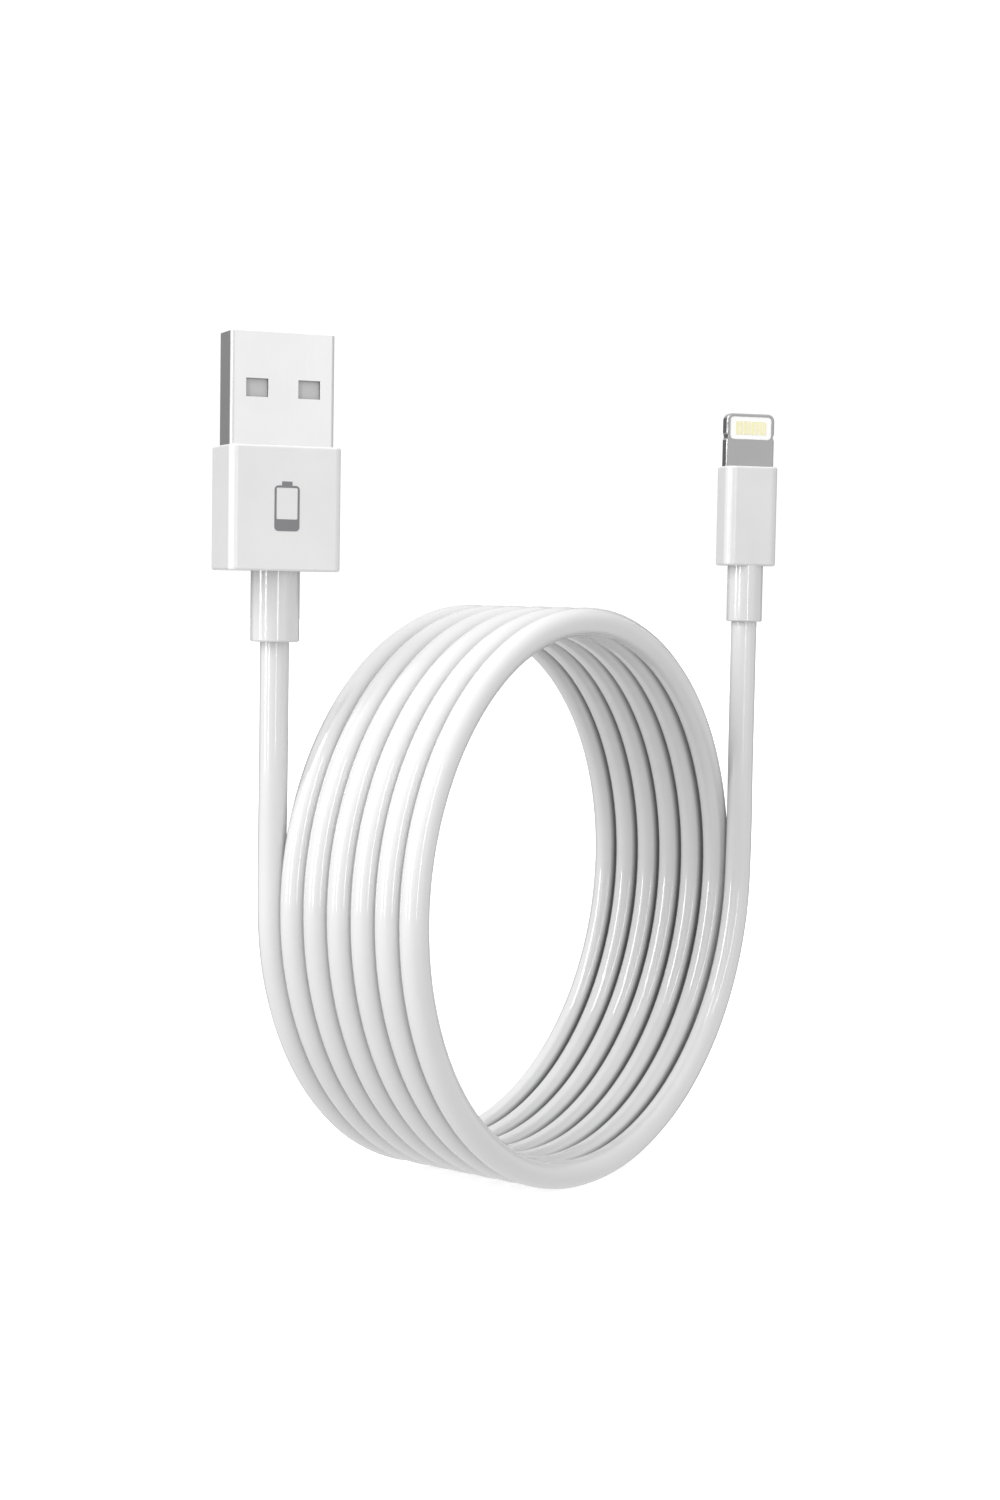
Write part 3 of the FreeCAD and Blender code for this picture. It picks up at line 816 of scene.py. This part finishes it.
@dataclass
class Cord:
    """The cord: down one tail, round the coil and up the other tail."""

    diameter: float = 3.3 * MM
    radius: float = 33.5 * MM
    pitch: float = 3.4 * MM
    half_turns: int = 13
    points_per_half: int = 8
    smoothness: int = 7
    tail_points: tuple[float, ...] = (0.067, 0.055, 0.047)
    inside: float = 3.0 * MM

    def centre(self) -> float:
        """Return the height of the coil's middle."""
        low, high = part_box("cord_coil")
        return (low.z + high.z) / 2

    def start(self) -> float:
        """Return how far along Y from the coil's middle each tail stands."""
        return self.half_turns / 4 * self.pitch

    def squash(self) -> float:
        """Return how much lower than wide the coil is, as it sags where it stands."""
        low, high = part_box("cord_coil")
        return (high.z - low.z - self.diameter) / (2 * self.radius)

    def route(self, usb_exit: float, tab_exit: float) -> list[Vector]:
        """Work out the control points from the host plug's relief to the tab plug's.

        Args:
            usb_exit: The height of the host plug's relief.
            tab_exit: The height of the tab plug's relief.

        Returns:
            The points, in order.
        """
        start = self.start()
        points = [Vector((-self.radius, start, usb_exit + self.inside))]
        points += [Vector((-self.radius, start, z)) for z in self.tail_points]
        points += list(reversed(self.turns()))
        points += [Vector((self.radius, -start, z)) for z in reversed(self.tail_points)]
        points.append(Vector((self.radius, -start, tab_exit + self.inside)))
        return points

    def turns(self) -> list[Vector]:
        """Work out the coil's control points.

        Returns:
            The points, from the tab tail's side to the host tail's.
        """
        step = math.pi / self.points_per_half
        reach = self.radius / math.cos(step / 2)
        height, flat = self.centre(), self.squash()
        points = []
        for index in range(-1, self.half_turns * self.points_per_half + 1):
            angle = (index + 0.5) * step
            along = (angle / math.pi - self.half_turns / 2) / 2 * self.pitch
            low = height - flat * reach * math.sin(angle)
            points.append(Vector((reach * math.cos(angle), along, low)))
        return points

    def length(self, usb_exit: float, tab_exit: float) -> float:
        """Work out the cord's length.

        Args:
            usb_exit: The height of the host plug's relief.
            tab_exit: The height of the tab plug's relief.

        Returns:
            The length from relief to relief.
        """
        squashed = self.radius * (1 + self.squash()) / 2
        per_turn = math.hypot(2 * math.pi * squashed, self.pitch)
        return self.half_turns / 2 * per_turn + usb_exit + tab_exit - 2 * self.centre()

    def build(self, palette: Palette, plug: Sequence[bpy.types.Object]) -> bpy.types.Object:
        """Args:
            palette: The finishes.
            plug: The pieces of the tab plug, which the cord ends in; not used.

        Returns:
            The cord.
        """
        usb_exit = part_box("usb_strain_relief")[0].z
        tab_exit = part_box("tab_strain_relief")[0].z
        data = bpy.data.curves.new("cord", "CURVE")
        data.dimensions = "3D"
        data.resolution_u = self.smoothness
        data.render_resolution_u = self.smoothness
        data.bevel_depth = self.diameter / 2
        data.bevel_resolution = self.smoothness
        data.use_fill_caps = True
        spline = data.splines.new("NURBS")
        route = self.route(usb_exit, tab_exit)
        spline.points.add(len(route) - 1)
        for point, place in zip(spline.points, route):
            point.co = (*place, 1.0)
        spline.order_u = 3
        spline.use_endpoint_u = True
        spline.use_smooth = True
        cord = bpy.data.objects.new("cord", data)
        bpy.context.scene.collection.objects.link(cord)
        data.materials.append(palette.jacket)
        settle(cord, ("cord_coil", "usb_tail", "tab_tail"))
        return cord


# ---------------------------------------------------------------------- plugs


@dataclass(frozen=True)
class Overmould:
    """The sizes of a plug's white housing."""

    width: float
    depth: float
    corner: float
    edge: float
    mouth_depth: float
    gap: float
    segments: int = 10
    bore_depth: float = 3.0 * MM
    slack: float = 0.01 * MM

    def mesh(
        self, low: float, high: float, width: float, depth: float, relief: float
    ) -> bmesh.types.BMesh:
        """Make the housing with its mouth and its relief's bore.

        Args:
            low: The height of its lower end.
            high: The height of its upper end.
            width: The width of the metal that its mouth holds.
            depth: The depth of that metal.
            relief: The radius of the strain relief.

        Returns:
            The closed shape as a bmesh.
        """
        block = Block(self.width, self.depth, low, high).mesh()
        round_edges(block, self.corner, self.segments, lambda e: runs_along(e, Axis.ALONG))
        round_edges(block, self.edge, 5, lambda e: lies_at(e, low) or lies_at(e, high))
        mouth = Block(
            width + 2 * self.gap, depth + 2 * self.gap, high - self.mouth_depth, high + MM
        ).mesh()
        hole = rod(relief + self.slack, 2 * self.bore_depth)
        bmesh.ops.translate(hole, vec=(0.0, 0.0, low), verts=hole.verts)
        return carve(block, [mouth, hole])


@dataclass(frozen=True)
class Sleeve:
    """The sizes of a strain relief: a straight sleeve with softened rims."""

    radius: float
    bore: float
    rim: float = 0.28 * MM
    lip: float = 0.1 * MM

    def mesh(self, low: float, high: float) -> bmesh.types.BMesh:
        """Make the sleeve.

        Args:
            low: The height of its lower end.
            high: The height of its upper end.

        Returns:
            The closed shape as a bmesh.
        """
        profile = [(self.bore, high), (self.radius, high)]
        profile += rounded((self.radius - self.rim, low + self.rim), self.rim, 0.0, -90.0)
        profile += rounded((self.bore + self.lip, low + self.lip), self.lip, -90.0, -180.0, 3)
        return lathe(profile, 64)


@dataclass
class HostPlug:
    """The wide plug: overmould, relief, steel shell, tongue, contacts and printed mark."""

    stand: Stand
    overmould: Overmould = Overmould(
        12.9 * MM, 8.0 * MM, 0.9 * MM, 0.3 * MM, mouth_depth=3.0 * MM, gap=0.04 * MM
    )
    sleeve: Sleeve = Sleeve(2.75 * MM, 1.66 * MM)
    shell_width: float = 12.0 * MM
    shell_depth: float = 4.5 * MM
    wall: float = 0.3 * MM
    shell_corner: float = 0.4 * MM
    sheet_edge: float = 0.04 * MM
    seam_width: float = 0.06 * MM
    seam_depth: float = 0.06 * MM
    window_width: float = 2.5 * MM
    window_height: float = 2.0 * MM
    window_offset: float = 3.0 * MM
    window_drop: float = 6.1 * MM
    mark_width: float = 2.9 * MM
    mark_line: float = 0.24 * MM
    mark_fill: float = 1.3 * MM
    mark_corner: float = 0.45 * MM
    mark_thickness: float = 0.04 * MM
    room_corner: float = 0.15 * MM
    nub_width: float = 1.2 * MM
    nub_height: float = 0.45 * MM

    def build_overmould(self, palette: Palette) -> None:
        """Make the white housing.

        Args:
            palette: The finishes.
        """
        low, high = heights("usb_housing")
        mesh = self.overmould.mesh(
            low, high, self.shell_width, self.shell_depth, self.sleeve.radius
        )
        self.stand.publish(
            "usb_overmould", mesh, "housing_white", palette.housing, ["usb_housing"]
        )

    def build_sleeve(self, palette: Palette) -> None:
        """Make the strain relief.

        Args:
            palette: The finishes.
        """
        self.stand.publish(
            "usb_relief_sleeve", self.sleeve.mesh(*heights("usb_strain_relief")),
            "relief_white", palette.relief, ["usb_strain_relief"],
        )

    def build_shell(self, palette: Palette) -> None:
        """Make the steel shell with its four windows and its seam.

        Args:
            palette: The finishes.
        """
        low, high = heights("usb_shell")
        outer = Block(self.shell_width, self.shell_depth, low, high).mesh()
        round_edges(outer, self.shell_corner, 6, lambda e: runs_along(e, Axis.ALONG))
        inner = Block(
            self.shell_width - 2 * self.wall, self.shell_depth - 2 * self.wall,
            low - MM, high + MM,
        ).mesh()
        round_edges(
            inner, self.shell_corner - self.wall, 5, lambda e: runs_along(e, Axis.ALONG)
        )
        sill = high - self.window_drop - self.window_height / 2
        windows = [
            Block(
                self.window_width, 2 * self.shell_depth, sill, sill + self.window_height,
                across=side * self.window_offset,
            ).mesh()
            for side in (-1, 1)
        ]
        seam = Block(
            self.seam_width, 2 * self.seam_depth, low - MM, high + MM,
            through=self.shell_depth / 2,
        ).mesh()
        tube = carve(outer, [inner, *windows, seam])
        self.mark_faces(tube, sill)
        round_edges(tube, self.sheet_edge, 2, is_sharp)
        sheet = self.stand.publish(
            "usb_shell_sheet", tube, "shell_steel", palette.shell, ["usb_shell"]
        )
        sheet.data.materials.append(palette.punched_and_shaded)
        sheet.data.materials.append(palette.bend)

    def mark_faces(self, tube: bmesh.types.BMesh, sill: float) -> None:
        """Give the shell's punched edges and its bends their own duller finishes, darkened
        further with painted shade.

        Args:
            tube: The shell in the plug's own frame.
            sill: The height of the windows' lower edges.
        """
        near = 0.1 * MM
        reach = self.window_offset + self.window_width / 2 + near
        for face in tube.faces:
            centre, normal = face.calc_center_median(), face.normal
            punched_and_shaded = sill - near < centre.z < sill + self.window_height + near
            # painted shade on the windows' cut edges, on top of their duller steel
            if punched_and_shaded and abs(centre.x) < reach and abs(normal.y) < 0.5:
                face.material_index = ShellFinish.PUNCHED_AND_SHADED.value
            # painted shade on the bends dims their highlight
            elif min(abs(normal.x), abs(normal.y)) > 0.1:
                face.material_index = ShellFinish.BEND_AND_SHADE.value

    def build_mark(self, palette: Palette) -> None:
        """Make the printed battery: a case with rounded corners, partly full, and its nub.

        Args:
            palette: The finishes.
        """
        low, high = heights("usb_charge_mark")
        top = high - self.nub_height
        front = -self.overmould.depth / 2
        thick = self.mark_thickness
        case = Block(self.mark_width, thick, low, top, through=front).mesh()
        round_edges(case, self.mark_corner, 4, lambda e: runs_along(e, Axis.THROUGH))
        fill = low + self.mark_fill
        room = Block(
            self.mark_width - 2 * self.mark_line, 4 * thick, fill, top - self.mark_line,
            through=front,
        ).mesh()
        round_edges(room, self.room_corner, 3, lambda e: runs_along(e, Axis.THROUGH))
        mark = carve(case, [room])
        cap = Block(self.nub_width, thick, top, high, through=front).mesh()
        spare = bpy.data.meshes.new("cap")
        cap.to_mesh(spare)
        cap.free()
        mark.from_mesh(spare)
        bpy.data.meshes.remove(spare)
        self.stand.publish(
            "usb_battery_print", mark, "print_grey", palette.ink, ["usb_charge_mark"]
        )

    def build(self, frame: dict, palette: Palette) -> None:
        """Make every piece of the host plug.

        Args:
            palette: The finishes.
        """
        self.build_overmould(palette)
        self.build_sleeve(palette)
        self.build_shell(palette)
        self.build_mark(palette)
        dress(frame, palette.tongue, "usb_insulator")
        dress(frame, palette.gold, *[f"usb_contact_{number}" for number in range(1, 5)])
        dress(frame, palette.mold, "usb_inner_mold")
        dress(frame, palette.can, "usb_crimp")
        for colour, finish in palette.wires.items():
            dress(frame, finish, f"usb_wire_{colour}")


@dataclass
class TabPlug:
    """The thin plug: overmould, relief, metal tongue, insert, contacts and electronics."""

    stand: Stand
    overmould: Overmould = Overmould(
        7.2 * MM, 4.7 * MM, 1.3 * MM, 0.3 * MM, mouth_depth=2.5 * MM, gap=0.03 * MM
    )
    sleeve: Sleeve = Sleeve(2.3 * MM, 1.66 * MM, rim=0.2 * MM)
    width: float = 6.7 * MM
    depth: float = 1.5 * MM
    corner: float = 0.9 * MM
    edge: float = 0.25 * MM
    fine_edge: float = 0.03 * MM
    window_width: float = 5.7 * MM
    window_height: float = 2.9 * MM
    window_drop: float = 0.4 * MM
    window_corner: float = 0.5 * MM
    detent_radius: float = 0.6 * MM
    detent_depth: float = 0.2 * MM
    detent_drop: float = 3.0 * MM

    def build_overmould(self, palette: Palette) -> bpy.types.Object:
        """Make the white housing.

        Args:
            palette: The finishes.

        Returns:
            The piece.
        """
        low, high = heights("tab_housing")
        mesh = self.overmould.mesh(low, high, self.width, self.depth, self.sleeve.radius)
        return self.stand.publish(
            "tab_overmould", mesh, "housing_white", palette.shaded_housing, ["tab_housing"]
        )

    def build_sleeve(self, palette: Palette) -> bpy.types.Object:
        """Make the strain relief.

        Args:
            palette: The finishes.

        Returns:
            The piece.
        """
        return self.stand.publish(
            "tab_relief_sleeve", self.sleeve.mesh(*heights("tab_strain_relief")),
            "relief_white", palette.relief, ["tab_strain_relief"],
        )

    def detent(self, side: int, height: float) -> bmesh.types.BMesh:
        """Make the rod that cuts a latch's detent in one narrow side.

        Args:
            side: -1 for the plug's left side and 1 for its right.
            height: The detent's height.

        Returns:
            The rod as a bmesh.
        """
        cutter = rod(self.detent_radius, 4 * self.depth)
        turn = Matrix.Rotation(math.pi / 2, 4, "X")
        out = side * (self.width / 2 + self.detent_radius - self.detent_depth)
        place = Matrix.Translation((out, 0.0, height)) @ turn
        bmesh.ops.transform(cutter, matrix=place, verts=cutter.verts)
        return cutter

    def build_tongue(self, palette: Palette) -> bpy.types.Object:
        """Make the metal tongue with its window and its two detents.

        Args:
            palette: The finishes.

        Returns:
            The piece.
        """
        low, high = (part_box("tab_frame")[0].z, middle("tab_insulator").z)
        high += self.window_height / 2 + self.window_drop
        tongue = Block(self.width, self.depth, low, high).mesh()
        round_edges(
            tongue, self.corner, 8,
            lambda e: lies_at(e, high) and runs_along(e, Axis.THROUGH),
        )
        round_edges(
            tongue, self.edge, 4,
            lambda e: is_sharp(e) and not lies_at(e, low) and not runs_along(e, Axis.THROUGH),
        )
        top = high - self.window_drop
        window = Block(
            self.window_width, 3 * self.depth, top - self.window_height, top
        ).mesh()
        round_edges(window, self.window_corner, 6, lambda e: runs_along(e, Axis.THROUGH))
        notch = high - self.detent_drop
        cut = carve(tongue, [window, self.detent(-1, notch), self.detent(1, notch)])
        round_edges(cut, self.fine_edge, 2, is_sharp)
        return self.stand.publish("tab_tongue", cut, "tab_steel", palette.tab, ["tab_frame"])

    def build(self, frame: dict, palette: Palette) -> list[bpy.types.Object]:
        """Make every piece of the tab plug.

        Args:
            palette: The finishes.

        Returns:
            The main pieces, which the cord ends in.
        """
        pieces = [
            self.build_overmould(palette),
            self.build_sleeve(palette),
            self.build_tongue(palette),
            frame["nodes"]["tab_insulator"],
        ]
        dress(frame, palette.insert, "tab_insulator")
        for face in ("front", "back"):
            names = [f"tab_contact_{face}_{number}" for number in range(1, 9)]
            dress(frame, palette.gold, *names)
        dress(frame, palette.mold, "tab_inner_mold")
        dress(frame, palette.can, "tab_shield_can")
        dress(frame, palette.board, "tab_circuit_board")
        dress(frame, palette.chip, "tab_identity_chip")
        dress(frame, palette.ceramic, "tab_capacitor_1", "tab_capacitor_2")
        for colour, finish in palette.wires.items():
            dress(frame, finish, f"tab_wire_{colour}")
        return pieces


# --------------------------------------------------------------------- studio


@dataclass(frozen=True)
class Softbox:
    """A tall rectangular light that stands round the table and faces its middle."""

    name: str
    azimuth: float
    distance: float
    middle: float
    width: float
    height: float
    watts: float
    aim: float = 50.0 * MM

    def build(self) -> None:
        """Hang the light."""
        data = bpy.data.lights.new(self.name, "AREA")
        data.shape = "RECTANGLE"
        data.size = self.width
        data.size_y = self.height
        data.energy = self.watts
        lamp = bpy.data.objects.new(self.name, data)
        turn = math.radians(self.azimuth)
        lamp.location = (
            self.distance * math.cos(turn), self.distance * math.sin(turn), self.middle
        )
        look = Vector((0.0, 0.0, self.aim)) - lamp.location
        lamp.rotation_euler = look.to_track_quat("-Z", "Y").to_euler()
        bpy.context.scene.collection.objects.link(lamp)


@dataclass(frozen=True)
class Sector:
    """A side of the room that is brighter or dimmer than the rest."""

    azimuth: float
    outer: float
    inner: float
    gain: float

    def apply(self, tree: Tree, place: Socket, strength: Socket) -> Socket:
        """Scale the room's strength inside this sector.

        Args:
            tree: The world's node tree.
            place: The direction that is looked at.
            strength: The strength so far.

        Returns:
            The scaled strength.
        """
        turn = math.radians(self.azimuth)
        side = (math.cos(turn), math.sin(turn), 0.0)
        facing = tree.add("VectorMath", {0: place, 1: side}, operation="DOT_PRODUCT")
        inputs = {
            "Value": facing.outputs["Value"],
            "From Min": math.cos(math.radians(self.outer)),
            "From Max": math.cos(math.radians(self.inner)),
            "To Min": 1.0,
            "To Max": self.gain,
        }
        spread = tree.add("MapRange", inputs, interpolation_type="SMOOTHSTEP")
        return tree.calculate("MULTIPLY", strength, spread.outputs["Result"])


@dataclass
class Studio:
    """The camera, the pale floor and the soft lights."""

    lens: float = 54.6
    sensor: float = 36.0
    azimuth: float = math.radians(-54.37)
    elevation: float = math.radians(4.18)
    roll: float = math.radians(0.99)
    distance: float = 0.2783
    aim: tuple[float, float, float] = (-0.00073, 0.00316, 0.05175)
    floor_radius: float = 4.0
    floor_glow: float = 0.5
    floor_grain: float = 900.0
    backdrop: float = 1.05
    below: float = 1.0
    wall: float = 0.8
    ceiling: float = 1.45
    sectors: tuple[Sector, ...] = (
        Sector(78.0, 27.0, 13.0, 0.3),
        Sector(8.0, 35.0, 10.0, 0.35),
        Sector(222.0, 42.0, 20.0, 0.7),
        Sector(257.0, 24.0, 12.0, 1.4),
    )
    softboxes: tuple[Softbox, ...] = (
        Softbox("key", 170.0, 0.6, 0.75, 0.30, 0.30, 2.3),
        Softbox("strip_left", 177.0, 0.9, 0.35, 0.06, 0.8, 1.6),
        Softbox("strip_back_left", 150.0, 0.9, 0.35, 0.10, 0.8, 2.8),
        Softbox("strip_right", 233.0, 0.9, 0.35, 0.04, 0.8, 1.0),
    )

    def build_camera(self) -> None:
        """Set up the camera, a little above the plugs' side and leaning slightly."""
        data = bpy.data.cameras.new("camera")
        data.lens = self.lens
        data.sensor_width = self.sensor
        data.clip_start = 10.0 * MM
        data.dof.use_dof = False
        camera = bpy.data.objects.new("camera", data)
        back = Vector(
            (
                math.sin(self.azimuth) * math.cos(self.elevation),
                -math.cos(self.azimuth) * math.cos(self.elevation),
                math.sin(self.elevation),
            )
        )
        camera.location = Vector(self.aim) + back * self.distance
        level = back.to_track_quat("Z", "Y").to_matrix()
        camera.rotation_euler = (level @ Matrix.Rotation(self.roll, 3, "Z")).to_euler()
        bpy.context.scene.collection.objects.link(camera)
        bpy.context.scene.camera = camera

    def build_floor(self) -> None:
        """Lay the floor."""
        disc = bmesh.new()
        bmesh.ops.create_circle(disc, cap_ends=True, segments=96, radius=self.floor_radius)
        floor = object_of("floor", disc)
        graph = Graph("floor_paper")
        grain = graph.ranged(graph.noise(self.floor_grain, 3.0), 0.0, 1.0)
        graph.colour(graph.blended(grain, (0.93, 0.93, 0.93), (0.95, 0.95, 0.95)))
        graph.constant(Roughness=0.9, Emission_Color=WHITE, Emission_Strength=self.floor_glow)
        floor.data.materials.append(graph.material)
        floor.visible_diffuse = False
        floor.visible_glossy = False

    def build_world(self) -> None:
        """Surround the table with a pale room, dim on one side and brighter above."""
        world = bpy.data.worlds.new("room")
        bpy.context.scene.world = world
        world.use_nodes = True
        tree = Tree(world.node_tree)
        place = tree.add("TexCoord", {}).outputs["Generated"]
        rise = tree.add("SeparateXYZ", {0: place}).outputs["Z"]
        half = tree.calculate("MULTIPLY_ADD", rise, 0.5, 0.5)
        height = tree.add("FloatCurve", {"Value": half})
        curve = height.mapping.curves[0]
        curve.points[0].location = (0.0, self.below)
        curve.points[1].location = (1.0, self.ceiling)
        curve.points.new(0.5, self.wall)
        height.mapping.clip_max_y = 4.0
        height.mapping.use_clip = False
        height.mapping.update()
        strength = height.outputs[0]
        for sector in self.sectors:
            strength = sector.apply(tree, place, strength)
        walls = tree.add("Background", {"Color": WHITE, "Strength": strength})
        backdrop = tree.add("Background", {"Color": WHITE, "Strength": self.backdrop})
        seen = tree.add("LightPath", {}).outputs["Is Camera Ray"]
        mix = tree.add("MixShader", {0: seen, 1: walls.outputs[0], 2: backdrop.outputs[0]})
        tree.add("OutputWorld", {"Surface": mix.outputs[0]})

    def build_lights(self) -> None:
        """Hang the softboxes."""
        for softbox in self.softboxes:
            softbox.build()

    def build(self) -> None:
        """Set up the whole studio."""
        self.build_floor()
        self.build_world()
        self.build_lights()
        settings = bpy.context.scene.view_settings
        settings.view_transform = "Standard"
        settings.look = "None"


def turn_between(first: str, last: str) -> float:
    """Find which way a row of contacts runs.

    Args:
        first: The first contact's node.
        last: The last contact's node.

    Returns:
        The turn about Z, in radians, from X to the row.
    """
    run = middle(last) - middle(first)
    return math.atan2(run.y, run.x)


def main() -> None:
    """Build the studio, the cord and both plugs."""
    logging.basicConfig(level=logging.INFO, format="%(name)s %(message)s")
    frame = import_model()
    studio = Studio()
    studio.build_camera()
    usb_tail = middle("usb_tail")
    tab_tail = middle("tab_tail")
    usb_turn = turn_between("usb_contact_1", "usb_contact_4")
    tab_turn = turn_between("tab_contact_front_1", "tab_contact_front_8")
    palette = Palette(usb_turn, tab_turn)
    tab_plug = TabPlug(Stand(tab_tail.x, tab_tail.y, tab_turn))
    tab_pieces = tab_plug.build(frame, palette)
    Cord().build(palette, tab_pieces)
    host_plug = HostPlug(Stand(usb_tail.x, usb_tail.y, usb_turn))
    host_plug.build(frame, palette)
    studio.build()


if __name__ == "__main__":
    main()
